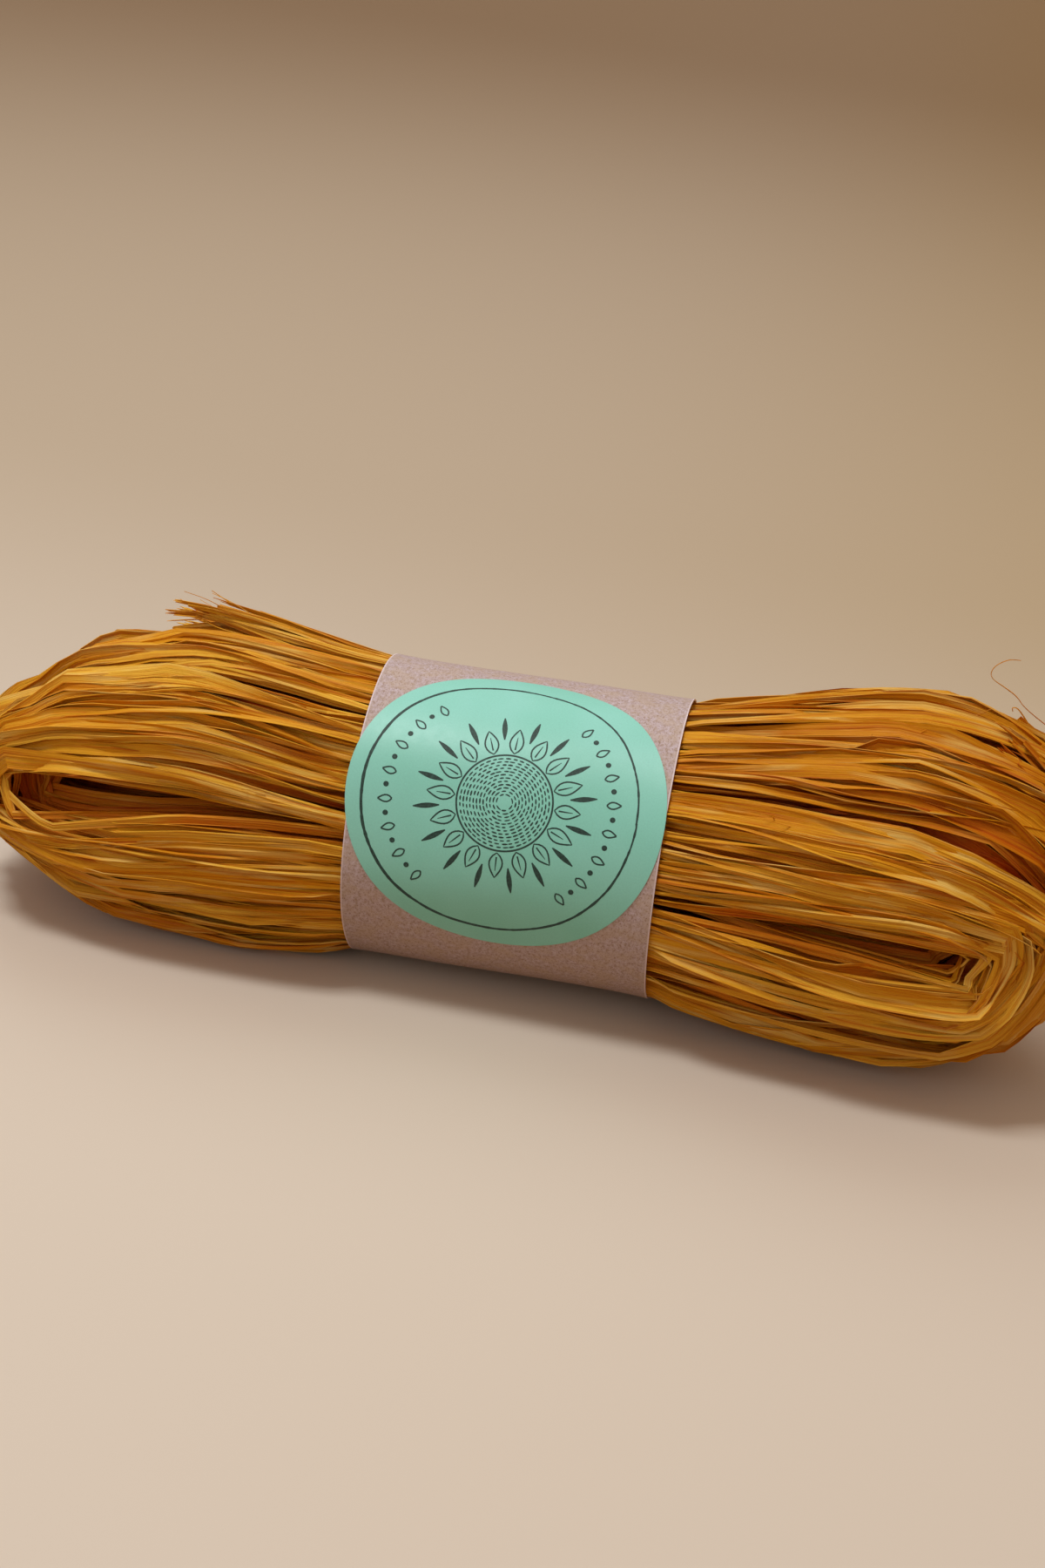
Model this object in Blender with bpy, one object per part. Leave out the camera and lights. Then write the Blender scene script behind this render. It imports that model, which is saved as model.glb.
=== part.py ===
"""Hank of dyed raffia leaf fibre with a paper belly band and a round sticker.

The raffia is wound lengthwise into flat loops, squeezed in the middle by the band, and lies on
its belly.  The loops stand on edge: their plane holds the long axis X and the height Z, and the
loops lie side by side across the depth Y.  Twelve wisps, each wound three times round the hank,
fill the bundle: six side by side near the eye of the loops and six wound over those.

Everything is drawn first in "hank space", where X is the hank's axis and the origin is the
middle of the band, and is then bent, pitched and set down on the floor plane Z = 0.
"""
import math

import bmesh
import bpy
from mathutils import Vector

MM = 0.001

# Driving dimensions.
LABEL_DIAMETER = 60 * MM
BAND_WIDTH = 59 * MM
BAND_HALF_HEIGHT = 29.65 * MM
DEPTH_RATIO = 0.94                    # half depth over half height, at the band and the bulges
PAPER_THICKNESS = 0.3 * MM
PAPER_OVERLAP = math.radians(70)      # how far the band's glued end laps over its start
PAPER_SEAM = math.radians(160)        # where the band starts, counted from the near side upwards
LABEL_RISE = 15.9 * MM                # the sticker's middle, along the paper from the near side
LABEL_SHIFT = -0.4 * MM
LABEL_THICKNESS = 0.3 * MM
GAP = 0.34 * MM                       # clear space between neighbouring pieces

# The bundle's outline in hank space.
LEFT_BULGE = 29.8 * MM                # half height of the left half
LEFT_ROUND_FROM = -43.6 * MM          # where the left end starts to round off
LEFT_END = -113 * MM
RIGHT_BULGE = 35.8 * MM
RIGHT_ROUND_FROM = 75.3 * MM
RIGHT_END = 113.3 * MM
WAIST_HALF_LENGTH = 30.5 * MM
END_DEPTH_LOSS = 0.12                 # share of the half depth lost at the very tip of an end

# The eye, the slit between the upper and the lower run of the loops.
EYE_LEFT = -96 * MM
EYE_RIGHT = 88 * MM
EYE_LEFT_GAPE = 4.0 * MM
EYE_RIGHT_GAPE = 1.2 * MM
EYE_LARGEST_SHARE = 0.35              # of the height from the eye's middle to the outline
EYE_LEFT_OPENS = -34 * MM
EYE_RIGHT_OPENS = 48 * MM

# How the bundle leans, twists and sags away from a straight symmetrical one.
TWIST_LEFT = math.radians(13)
TWIST_RIGHT = math.radians(-2)
TWIST_REACH = 60 * MM
LEFT_DROP = 3.2 * MM
RIGHT_RISE = 2.0 * MM
PITCH = math.radians(1.7)
BELLY_SINK = 0.9 * MM                 # how far the lowest strands are pressed in by the floor
BELLY_REACH = 1.9 * MM                # strands closer to the floor than this lie flat on it
BELLY_START = 40 * MM                 # the belly starts this far to either side of the band's middle

# Wisps.
TURNS = 3
RUN_STATIONS = [88, 70, 50, 30.5, 0, -30.5, -52, -75, -96]    # along the upper run, millimetres
END_STEPS = 5                                             # steps round each end of the hank
COLUMN_EDGES = [-0.95, -0.554, -0.265, 0.0, 0.265, 0.554, 0.95]
LAP_LENGTH = 0.2                      # share of a turn over which a wisp's end tapers
LAP_TIP = 0.08                        # thickness left at the tip, as a share of the layers
INNER_LAPS = [10, 23, 2, 16, 12, 21]  # station of each inner wisp's ends
OUTER_LAPS = [20, 20, 0, 7, 7, 0]     # station of each outer wisp's ends
LIFT_FROM = 0.65                      # share of the tapering end after which it stands up
TUFT_LIFT = {4: 6.5 * MM, 5: 5.0 * MM}    # outer wisps whose ends stand up at the top left

RAFFIA_COLOUR = (0.48, 0.20, 0.022, 1)
PAPER_COLOUR = (0.47, 0.36, 0.33, 1)
LABEL_COLOUR = (0.30, 0.62, 0.50, 1)


def ease(value):
    """A quarter sine from 0 to 1, held at both ends."""
    return math.sin(math.pi / 2 * min(max(value, 0.0), 1.0))


def full_height(x):
    """Half height that the bundle would have at x with square ends."""
    waist = BAND_HALF_HEIGHT - PAPER_THICKNESS - GAP
    if x < 0:
        bulge, at = LEFT_BULGE, LEFT_ROUND_FROM
    else:
        bulge, at = RIGHT_BULGE, RIGHT_ROUND_FROM
    return waist + (bulge - waist) * ease((abs(x) - WAIST_HALF_LENGTH) / (abs(at) - WAIST_HALF_LENGTH))


def reach(eye_x, angle):
    """Distance from the eye line at eye_x to the outline, at an angle above +X."""
    if eye_x < LEFT_ROUND_FROM:
        middle, half_length, bulge = LEFT_ROUND_FROM, LEFT_ROUND_FROM - LEFT_END, LEFT_BULGE
    elif eye_x > RIGHT_ROUND_FROM:
        middle, half_length, bulge = RIGHT_ROUND_FROM, RIGHT_END - RIGHT_ROUND_FROM, RIGHT_BULGE
    else:
        return full_height(eye_x)
    # The rounded end is half an ellipse, and the ray from the eye meets it here.
    across, up = math.cos(angle) / half_length, math.sin(angle) / bulge
    start = (eye_x - middle) / half_length
    a = across * across + up * up
    b = across * start
    c = start * start - 1
    return (math.sqrt(b * b - a * c) - b) / a


def gape(eye_x):
    """Half height of the eye at eye_x."""
    if eye_x < 0:
        share, most = (EYE_LEFT_OPENS - eye_x) / (EYE_LEFT_OPENS - EYE_LEFT), EYE_LEFT_GAPE
    else:
        share, most = (eye_x - EYE_RIGHT_OPENS) / (EYE_RIGHT - EYE_RIGHT_OPENS), EYE_RIGHT_GAPE
    return GAP / 2 + most * min(max(share, 0.0), 1.0)


def settle(point):
    """Take a point from hank space to its place on the floor, before the last centring."""
    x, y, z = point
    share = min(max((x + TWIST_REACH) / (2 * TWIST_REACH), 0.0), 1.0)
    twist = TWIST_LEFT + (TWIST_RIGHT - TWIST_LEFT) * share
    y, z = (y * math.cos(twist) + DEPTH_RATIO * z * math.sin(twist),
            z * math.cos(twist) - y / DEPTH_RATIO * math.sin(twist))
    if x < -WAIST_HALF_LENGTH:
        z -= LEFT_DROP * ((x + WAIST_HALF_LENGTH) / (LEFT_END + WAIST_HALF_LENGTH)) ** 2
    elif x > WAIST_HALF_LENGTH:
        z += RIGHT_RISE * ease((x - WAIST_HALF_LENGTH) / (RIGHT_ROUND_FROM - WAIST_HALF_LENGTH))
    return Vector((x * math.cos(PITCH) - z * math.sin(PITCH), y,
                   z * math.cos(PITCH) + x * math.sin(PITCH)))


def loop_stations():
    """The stations of one turn: eye_x, angle, reach, half depth and gape of each."""
    end_angles = [math.pi * (0.5 + step / END_STEPS) for step in range(1, END_STEPS)]
    stops = [(x * MM, math.pi / 2) for x in RUN_STATIONS]
    stops += [(EYE_LEFT, angle) for angle in end_angles]
    stops += [(x * MM, -math.pi / 2) for x in reversed(RUN_STATIONS)]
    stops += [(EYE_RIGHT, angle - math.pi) for angle in end_angles]
    stations = []
    for eye_x, angle in stops:
        loss = 1 - END_DEPTH_LOSS * abs(math.cos(angle)) ** 2
        depth = DEPTH_RATIO * full_height(eye_x) * loss
        stations.append((eye_x, angle, reach(eye_x, angle), depth, gape(eye_x)))
    return stations


def layer_edges(turn_share):
    """Edges between a wisp's layers at a share of the turn that starts at its lap."""
    start = (0, LAP_TIP, 0.5, 1 - LAP_TIP)
    middle = (0, 1 / 3, 2 / 3, 1)
    end = (LAP_TIP, 0.5, 1 - LAP_TIP, 1)
    into = min(turn_share / LAP_LENGTH, 1.0)
    out = max((turn_share - 1) / LAP_LENGTH + 1, 0.0)
    return [s + (m - s) * into + (e - m) * out for s, m, e in zip(start, middle, end)]


def wisp_section(station, edges, columns, layers, lift):
    """Corner points of a wisp's section at a station, in order round it."""
    eye_x, angle, top, depth, eye = station
    low_edge, high_edge = columns[0] + GAP / 2 / depth, columns[-1] - GAP / 2 / depth
    across = [low_edge] + list(columns[1:-1]) + [high_edge]
    corners = []
    for share, side in ((edges[0], 0.5), (edges[1], -0.5)):
        row = []
        for v in across:
            outline = top * math.sqrt(1 - v * v)
            hollow = min(eye, EYE_LARGEST_SHARE * outline)
            layer = layers[0] + share * (layers[1] - layers[0])
            r = hollow + (outline - hollow) * layer + side * GAP + lift
            row.append(settle((eye_x + r * math.cos(angle), v * depth, r * math.sin(angle))))
        corners.append(row)
    return corners[0] + corners[1][::-1]


def extend(bm, face, section):
    """Extrude a body's end face to its next section, and return the new end face."""
    first = len(bm.faces) == 1
    old = [loop.vert for loop in face.loops]
    grown = bmesh.ops.extrude_face_region(bm, geom=[face])["geom"]
    end = next(item for item in grown if isinstance(item, bmesh.types.BMFace))
    if face.is_valid and not first:
        bm.faces.remove(face)
    new = [loop.vert for loop in end.loops]
    for corner, point in zip(new, section):
        corner.co = point
    # Neighbours' facing sides are split along matching diagonals, so their gap stays even.
    count = len(section)
    for i in range(count):
        j = (i + 1) % count
        ends = (old[i], new[j]) if i < count // 2 else (old[j], new[i])
        bmesh.ops.connect_verts(bm, verts=list(ends))
    return end


def wisp_mesh(columns, layers, lap, lift):
    """A wisp wound TURNS times: its first section, extruded from station to station."""
    stations = loop_stations()
    count = len(stations)
    bm = bmesh.new()
    face = None
    for step in range(TURNS * count + 1):
        turn = min(step // count, TURNS - 1)
        turn_share = step / count - turn
        edges = layer_edges(turn_share)[turn:turn + 2]
        out = max((turn_share - 1) / LAP_LENGTH + 1, 0.0) if turn == TURNS - 1 else 0.0
        rise = lift * max((out - LIFT_FROM) / (1 - LIFT_FROM), 0.0)
        section = wisp_section(stations[(lap + step) % count], edges, columns, layers, rise)
        if face is None:
            face = bm.faces.new([bm.verts.new(point) for point in section])
            continue
        face = extend(bm, face, section)
    bmesh.ops.recalc_face_normals(bm, faces=bm.faces[:])
    return bm


def band_point(x, angle, offset):
    """A point on the band's oval, offset outwards, at an angle from the near side upwards."""
    half_depth = BAND_HALF_HEIGHT * DEPTH_RATIO + offset
    half_height = BAND_HALF_HEIGHT + offset
    return Vector((x * math.cos(PITCH) - half_height * math.sin(angle) * math.sin(PITCH),
                   -half_depth * math.cos(angle),
                   half_height * math.sin(angle) * math.cos(PITCH) + x * math.sin(PITCH)))


def band_mesh():
    """The paper strip: one section swept round the waist, its end lapped over its start."""
    steps = 56
    sweep = 2 * math.pi + PAPER_OVERLAP
    ramp = math.radians(20)
    bm = bmesh.new()
    face = None
    for step in range(steps + 1):
        angle = sweep * step / steps
        climb = min(max((angle - 2 * math.pi + ramp) / ramp, 0.0), 1.0) * (PAPER_THICKNESS + GAP)
        section = [band_point(side * BAND_WIDTH / 2, PAPER_SEAM + angle, climb + skin)
                   for side, skin in ((-1, -PAPER_THICKNESS), (1, -PAPER_THICKNESS), (1, 0), (-1, 0))]
        if face is None:
            face = bm.faces.new([bm.verts.new(point) for point in section])
            continue
        face = extend(bm, face, section)
    bmesh.ops.recalc_face_normals(bm, faces=bm.faces[:])
    return bm


def angle_along_paper(distance):
    """The oval's angle at a distance along the paper from the near side."""
    steps = 200
    angle = 0.0
    for _ in range(steps):
        stretch = math.hypot(DEPTH_RATIO * math.sin(angle), math.cos(angle)) * BAND_HALF_HEIGHT
        angle += distance / steps / stretch
    return angle


def label_mesh():
    """The sticker: a flat disc of paper, laid round the band and given its thickness."""
    radius = LABEL_DIAMETER / 2
    bm = bmesh.new()
    bmesh.ops.create_grid(bm, x_segments=10, y_segments=10, size=1)
    for vert in bm.verts:
        u, v = vert.co.x, vert.co.y
        x = radius * u * math.sqrt(1 - v * v / 2) + LABEL_SHIFT
        along = radius * v * math.sqrt(1 - u * u / 2) + LABEL_RISE
        vert.co = band_point(x, angle_along_paper(along), GAP)
    bmesh.ops.recalc_face_normals(bm, faces=bm.faces[:])
    if sum(face.normal.y for face in bm.faces) > 0:
        bmesh.ops.reverse_faces(bm, faces=bm.faces[:])
    bmesh.ops.solidify(bm, geom=bm.faces[:], thickness=-LABEL_THICKNESS)
    bmesh.ops.recalc_face_normals(bm, faces=bm.faces[:])
    return bm


def finish_material(name, colour, roughness):
    """A plain Principled material."""
    material = bpy.data.materials.new(name)
    material.use_nodes = True
    shader = material.node_tree.nodes["Principled BSDF"]
    shader.inputs["Base Color"].default_value = colour
    shader.inputs["Roughness"].default_value = roughness
    shader.inputs["Metallic"].default_value = 0.0
    return material


def add_object(name, bm, colour, roughness):
    """Turn a bmesh into a named object of the scene."""
    mesh = bpy.data.meshes.new(name)
    bm.to_mesh(mesh)
    bm.free()
    mesh.materials.append(finish_material(name + "_finish", colour, roughness))
    piece = bpy.data.objects.new(name, mesh)
    bpy.context.scene.collection.objects.link(piece)
    return piece


def set_down(pieces):
    """Move the finished bundle so that its belly lies on the floor and its box is centred."""
    points = [vert.co for piece in pieces for vert in piece.data.vertices]
    low = Vector([min(point[axis] for point in points) for axis in range(3)])
    high = Vector([max(point[axis] for point in points) for axis in range(3)])
    shift = Vector((-(low.x + high.x) / 2, -(low.y + high.y) / 2, -low.z - BELLY_SINK))
    for piece in pieces:
        for vert in piece.data.vertices:
            vert.co += shift
            if vert.co.z < BELLY_REACH and abs(vert.co.x) > BELLY_START:
                vert.co.z = 0.0


for old in list(bpy.data.objects):
    bpy.data.objects.remove(old, do_unlink=True)

pieces = []
for number in range(1, len(COLUMN_EDGES)):
    columns = COLUMN_EDGES[number - 1:number + 1]
    if number in (1, len(COLUMN_EDGES) - 1):
        # The bundle's flank is steep here, so the section gets a corner halfway.
        columns = [columns[0], math.copysign(0.80, columns[0] + columns[1]), columns[1]]
    inner = wisp_mesh(columns, (0.0, 0.5), INNER_LAPS[number - 1], 0.0)
    pieces.append(add_object(f"raffia_wisp_inner_{number}", inner, RAFFIA_COLOUR, 0.55))
    outer = wisp_mesh(columns, (0.5, 1.0), OUTER_LAPS[number - 1], TUFT_LIFT.get(number, 0.0))
    pieces.append(add_object(f"raffia_wisp_outer_{number}", outer, RAFFIA_COLOUR, 0.55))
pieces.append(add_object("paper_band", band_mesh(), PAPER_COLOUR, 0.75))
pieces.append(add_object("round_label", label_mesh(), LABEL_COLOUR, 0.4))
set_down(pieces)
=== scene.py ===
import math

import bmesh
import bpy
import numpy as np
from mathutils import Matrix, Vector


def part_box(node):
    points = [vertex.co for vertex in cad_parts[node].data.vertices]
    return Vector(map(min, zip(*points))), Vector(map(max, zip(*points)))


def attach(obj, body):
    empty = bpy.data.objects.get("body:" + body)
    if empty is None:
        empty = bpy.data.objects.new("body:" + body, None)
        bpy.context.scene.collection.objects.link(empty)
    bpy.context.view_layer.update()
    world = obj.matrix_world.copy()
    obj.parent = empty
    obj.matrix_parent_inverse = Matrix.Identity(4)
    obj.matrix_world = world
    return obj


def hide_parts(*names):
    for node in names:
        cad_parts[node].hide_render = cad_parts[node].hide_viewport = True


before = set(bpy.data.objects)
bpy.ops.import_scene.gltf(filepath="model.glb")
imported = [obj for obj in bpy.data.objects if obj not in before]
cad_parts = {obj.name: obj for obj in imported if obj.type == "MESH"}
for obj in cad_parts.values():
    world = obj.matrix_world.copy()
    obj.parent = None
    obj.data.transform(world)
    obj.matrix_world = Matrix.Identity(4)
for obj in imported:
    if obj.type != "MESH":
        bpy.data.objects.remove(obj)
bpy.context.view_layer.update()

# --- The raffia strands -----------------------------------------------------------------------
# Flat strips of dyed palm leaf, two to six millimetres wide, are folded and curled along their
# length.  They are wound three times round, into long flat loops that stand on edge, and their
# ends are left as they were cut.  The paper band squeezes the loops' waist.

MM = 0.001
BAND_LOW, BAND_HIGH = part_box("paper_band")
BAND_HALF_WIDTH, BAND_HALF_HEIGHT = 29.5 * MM, 29.65 * MM
DEPTH_RATIO = 0.94                  # of the band's depth, and the hank's, to its height
# Hank space has X along the hank and its origin here, in the middle of the band, in metres.
BAND_MIDDLE = np.array([(BAND_LOW.x + BAND_HIGH.x) / 2, BAND_LOW.y + DEPTH_RATIO * BAND_HALF_HEIGHT,
                        (BAND_LOW.z + BAND_HIGH.z) / 2])
PITCH = math.radians(1.7)           # the right half is fuller, so it lies higher
PAPER, WAIST_GAP = 0.3 * MM, 0.34 * MM
WAIST = BAND_HALF_HEIGHT - PAPER - WAIST_GAP
WAIST_END = 30.5 * MM
LEFT_BULGE, LEFT_ROUND_FROM, LEFT_END = 32.8 * MM, -51.0 * MM, -111.8 * MM
RIGHT_BULGE, RIGHT_ROUND_FROM, RIGHT_END = 35.8 * MM, 75.3 * MM, 113.3 * MM
EYE_LEFT, EYE_RIGHT = -96 * MM, 88 * MM
TWIST_LEFT, TWIST_RIGHT, TWIST_REACH = math.radians(13), math.radians(-2), 60 * MM
LEFT_DROP, RIGHT_RISE = 3.2 * MM, 2.0 * MM


def part_way(value, start, end):
    """How far a value is on its way from start to end, between 0 and 1."""
    return np.clip((value - start) / (end - start), 0, 1)


def ease(share):
    """A quarter sine from 0 to 1."""
    return np.sin(np.pi / 2 * np.clip(share, 0, 1))


def full_height(x):
    """Half height of the hank at x, as if its ends were square."""
    swell = np.where(x < 0, LEFT_BULGE, RIGHT_BULGE) - WAIST
    swell_end = np.where(x < 0, -LEFT_ROUND_FROM, RIGHT_ROUND_FROM)
    return WAIST + swell * ease((np.abs(x) - WAIST_END) / (swell_end - WAIST_END))


def reach(eye_x, angle):
    """Distance from the eye line to the outline, in a direction in the plane of the loops."""
    left, right = eye_x < LEFT_ROUND_FROM, eye_x > RIGHT_ROUND_FROM
    middle = np.where(left, LEFT_ROUND_FROM, RIGHT_ROUND_FROM)
    half_length = np.where(left, LEFT_ROUND_FROM - LEFT_END, RIGHT_END - RIGHT_ROUND_FROM)
    across = np.cos(angle) / half_length
    up = np.sin(angle) / np.where(left, LEFT_BULGE, RIGHT_BULGE)
    start = (eye_x - middle) / half_length
    a, b, c = across ** 2 + up ** 2, across * start, start ** 2 - 1
    rounded = (np.sqrt(np.maximum(b * b - a * c, 0)) - b) / a
    return np.where(left | right, rounded, full_height(eye_x))


def to_row(x, y, z):
    """Points of hank space, pitched and moved to their place in the row frame."""
    return np.stack([x * math.cos(PITCH) - z * math.sin(PITCH), y,
                     z * math.cos(PITCH) + x * math.sin(PITCH)], -1) + BAND_MIDDLE


def settle(points):
    """Points from hank space to the twisted, pitched hank on the floor, in the row frame."""
    x, y, z = points[..., 0], points[..., 1], points[..., 2]
    twist = TWIST_LEFT + (TWIST_RIGHT - TWIST_LEFT) * part_way(x, -TWIST_REACH, TWIST_REACH)
    y, z = (y * np.cos(twist) + DEPTH_RATIO * z * np.sin(twist),
            z * np.cos(twist) - y / DEPTH_RATIO * np.sin(twist))
    drop = np.clip((x + WAIST_END) / (LEFT_END + WAIST_END), 0, None) ** 2
    rise = ease((x - WAIST_END) / (RIGHT_ROUND_FROM - WAIST_END))
    return to_row(x, y, z - LEFT_DROP * drop + RIGHT_RISE * rise)


TURNS = 3
TURN_STATIONS = 72
FINER = 2                           # stations after the strands have settled, for each one before
RUN_SHARE = 0.32                    # of a turn's stations, on each of the two long runs
STRANDS_PER_WISP = (6, 8)           # of the inner wisps and of the outer ones
# A strand's place across the loops is v, from -1 on the near face, and u, from 0 at the eye line.
COLUMN_EDGES = [-0.97, -0.554, -0.265, 0.0, 0.265, 0.554, 0.97]
SKIN = 0.975
# A turn starts at the right end of the top, and each wisp starts and ends at a share of a turn.
INNER_LAPS = [0.16, 0.665, 0.15, 0.66, 0.145, 0.67]
OUTER_LAPS = [0.789, 0.789, 0.0, 0.283, 0.283, 0.0]
LAP_LENGTH, LAP_TIP = 0.2, 0.08
rng = np.random.default_rng(11)


def loop_point(turn_share):
    """The eye's x and the direction of the outline, at a share of a turn."""
    half_turn = np.mod(turn_share, 0.5)
    on_top = np.mod(turn_share, 1.0) < 0.5
    along = part_way(half_turn, 0, RUN_SHARE)
    from_x, to_x = np.where(on_top, EYE_RIGHT, EYE_LEFT), np.where(on_top, EYE_LEFT, EYE_RIGHT)
    angle = np.where(on_top, np.pi / 2, -np.pi / 2) + np.pi * part_way(half_turn, RUN_SHARE, 0.5)
    return from_x + (to_x - from_x) * along, angle


def layer_edges(turn_share):
    """Edges between a wisp's layers, at a share of the turn that starts at its lap."""
    start = np.array([0, LAP_TIP, 0.5, 1 - LAP_TIP])
    middle = np.array([0, 1 / 3, 2 / 3, 1])
    end = np.array([LAP_TIP, 0.5, 1 - LAP_TIP, 1])
    into = part_way(turn_share, 0, LAP_LENGTH)[..., None]
    out = part_way(turn_share, 1 - LAP_LENGTH, 1)[..., None]
    return start + (middle - start) * into + (end - middle) * out


def drift(count, length, wavelengths, sizes, dice=rng):
    """Smooth random curves, one for each of count strands."""
    along = np.arange(length)
    total = np.zeros((count, length))
    for wavelength, size in zip(wavelengths, sizes):
        phase = dice.uniform(0, 2 * np.pi, (count, 1))
        period = wavelength * dice.uniform(0.7, 1.4, (count, 1))
        total += dice.normal(0, size, (count, 1)) * np.sin(2 * np.pi * along / period + phase)
    return total


def first_places():
    """Where each strand would run in the loops' unit half disc if it took no heed of the others."""
    length = TURNS * TURN_STATIONS + 1
    step = np.arange(length)
    turn = np.minimum(step // TURN_STATIONS, TURNS - 1)
    edges = layer_edges(step / TURN_STATIONS - turn)
    low = np.take_along_axis(edges, turn[:, None], 1)[:, 0]
    high = np.take_along_axis(edges, turn[:, None] + 1, 1)[:, 0]
    places, laps, wisps = [], [], []
    for column in range(6):
        for ring, offsets in enumerate((INNER_LAPS, OUTER_LAPS)):
            for number in range(STRANDS_PER_WISP[ring]):
                side = (number + rng.uniform(0.2, 0.8)) / STRANDS_PER_WISP[ring]
                v = COLUMN_EDGES[column] + side * (COLUMN_EDGES[column + 1] - COLUMN_EDGES[column])
                layer = low + rng.uniform(0.15, 0.85) * (high - low)
                u = (ring + layer) / 2
                places.append(np.stack([np.full(length, v), u * math.sqrt(1 - v * v)], -1))
                laps.append(int((offsets[column] + rng.uniform(-0.007, 0.007)) * TURN_STATIONS))
                wisps.append(column + 6 * ring)
    waves = (16, 30, 70)
    wander = np.stack([drift(len(places), length, waves, (0.018, 0.04, 0.06)),
                       drift(len(places), length, waves, (0.015, 0.03, 0.04))], -1)
    return np.array(places) + wander, np.array(laps), np.array(wisps)


CROWDING = 0.95                     # of the spacing at which the strands just fill the half disc
PUSH, PULL_BACK = 0.35, 0.08        # towards its room, and back to its first place, in each round
SETTLING_ROUNDS = 30


def lay_strands():
    """Each strand's places in the half disc, after they have pushed apart, its lap and its wisp."""
    target, laps, wisps = first_places()
    count, length = target.shape[:2]
    places = target.copy()
    # passes[k] lists, for station k, the place of every strand's every turn there.
    station = np.arange(TURN_STATIONS)
    passes = np.stack([strand * length + turn * TURN_STATIONS
                       + np.mod(station - laps[strand], TURN_STATIONS)
                       for strand in range(count) for turn in range(TURNS)], -1)
    itself = np.arange(passes.shape[1])
    spacing = CROWDING * math.sqrt(np.pi / 2 / passes.shape[1])
    size = np.repeat(rng.uniform(0.7, 1.25, count), TURNS)
    wanted = spacing * (size[:, None] + size[None, :]) / 2
    for _ in range(SETTLING_ROUNDS):
        flat = places.reshape(-1, 2)
        here = flat[passes]
        gap = here[:, :, None, :] - here[:, None, :, :]
        distance = np.sqrt((gap ** 2).sum(-1)) + 1e-6
        push = np.clip(wanted - distance, 0, None) / distance
        push[:, itself, itself] = 0
        here = here + PUSH * (push[..., None] * gap).sum(2)
        radius = np.sqrt((here ** 2).sum(-1, keepdims=True))
        here = here / np.maximum(radius / SKIN, 1)
        here[..., 1] = np.maximum(here[..., 1], 0.02)
        flat[passes] = here
        places = flat.reshape(count, length, 2)
        places[:, 1:-1] = 0.6 * places[:, 1:-1] + 0.2 * (places[:, :-2] + places[:, 2:])
        places += PULL_BACK * (target - places)
    return places, laps, wisps


def opening(x, angle):
    """How far the near side's innermost strands stand off the eye line, above or below it."""
    above = 2.6 * MM * part_way(x, -34 * MM, -64 * MM)
    below = 8.2 * MM * part_way(x, -34 * MM, -94 * MM) ** 1.6
    left = below + (above - below) * (np.sin(angle) + 1) / 2
    right = 2.3 * MM * part_way(x, 40 * MM, 76 * MM)
    return left + right + 0.9 * MM * part_way(np.abs(x), 34 * MM, 54 * MM)


def belly(x, angle, around, v):
    """How much fuller than an ellipse the hank is, low on the near side, beside the band."""
    beside = part_way(np.abs(x), 31 * MM, 39 * MM) * part_way(np.abs(x), 86 * MM, 66 * MM)
    fullness = np.where(x > 0, 0.035, 0.018) * (v < 0)
    return fullness * beside * np.sin(2 * around) * np.clip(-np.sin(angle), 0, 1)


def slump(eye_x, angle, v):
    """How far the near face's upper strands have slid down towards the eye, by the right end."""
    along = part_way(eye_x, 33 * MM, 83 * MM)
    return 0.30 * along * np.clip(np.sin(angle), 0, 1) * part_way(-v, 0.45, 0.75)


def slim(eye_x, angle):
    """The share of its reach that the hank lacks: by its ends, and on top left of the band."""
    above = np.interp(eye_x / MM, [-97, -93, -89, -85, -80, -74, -66, -48, -38, -30],
                      [0.20, 0.02, -0.08, -0.05, 0.0, 0.03, 0.0, 0.05, 0.05, 0.0])
    under = np.interp(eye_x / MM, [-96, -85], [0.16, 0.0])
    left = np.where(np.sin(angle) > 0, above, under) * np.abs(np.sin(angle))
    return left + 0.07 * np.clip(-np.sin(2 * angle), 0, 1) * (eye_x > 60 * MM)


NEAR_FACE, NEAR_INSET = -0.95, 4.5 * MM


def strand_path(place, loops, inset):
    """A strand's line in hank space, from its places in the half disc and its loop stations.

    The innermost strands turn short of the eye's end: by the inset, and by less on the near face.
    """
    eye_x, angle = loop_point(loops)
    v, u = place[..., 0], place[..., 1]
    near = np.clip(1.25 - 2.2 * np.abs(v - NEAR_FACE), 0, 1)
    short = (near * NEAR_INSET + (1 - near) * inset) * np.clip(1 - 1.2 * u, 0, 1) ** 1.5
    end = np.where(eye_x < 0, -EYE_LEFT, EYE_RIGHT)
    eye_x = eye_x - np.sign(eye_x) * short * part_way(np.abs(eye_x), 55 * MM, end)
    top = reach(eye_x, angle) * (1 - slim(eye_x, angle))
    depth = DEPTH_RATIO * full_height(eye_x) * (1 - 0.12 * np.cos(angle) ** 2)
    # The strands slide round the hank's side to open the eye.
    radius, around = np.hypot(u, v), np.arctan2(u, np.abs(v))
    opened = opening(eye_x, angle) / top * np.where(v < 0, 1, 0.5)
    around = opened + around * (1 - opened * 2 / np.pi) * (1 - slump(eye_x, angle, v))
    radius = radius * (1 + belly(eye_x, angle, around, v))
    r = radius * np.sin(around) * top
    y = np.sign(v) * radius * np.cos(around) * depth
    return np.stack([eye_x + r * np.cos(angle), y, r * np.sin(angle)], -1)


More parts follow.
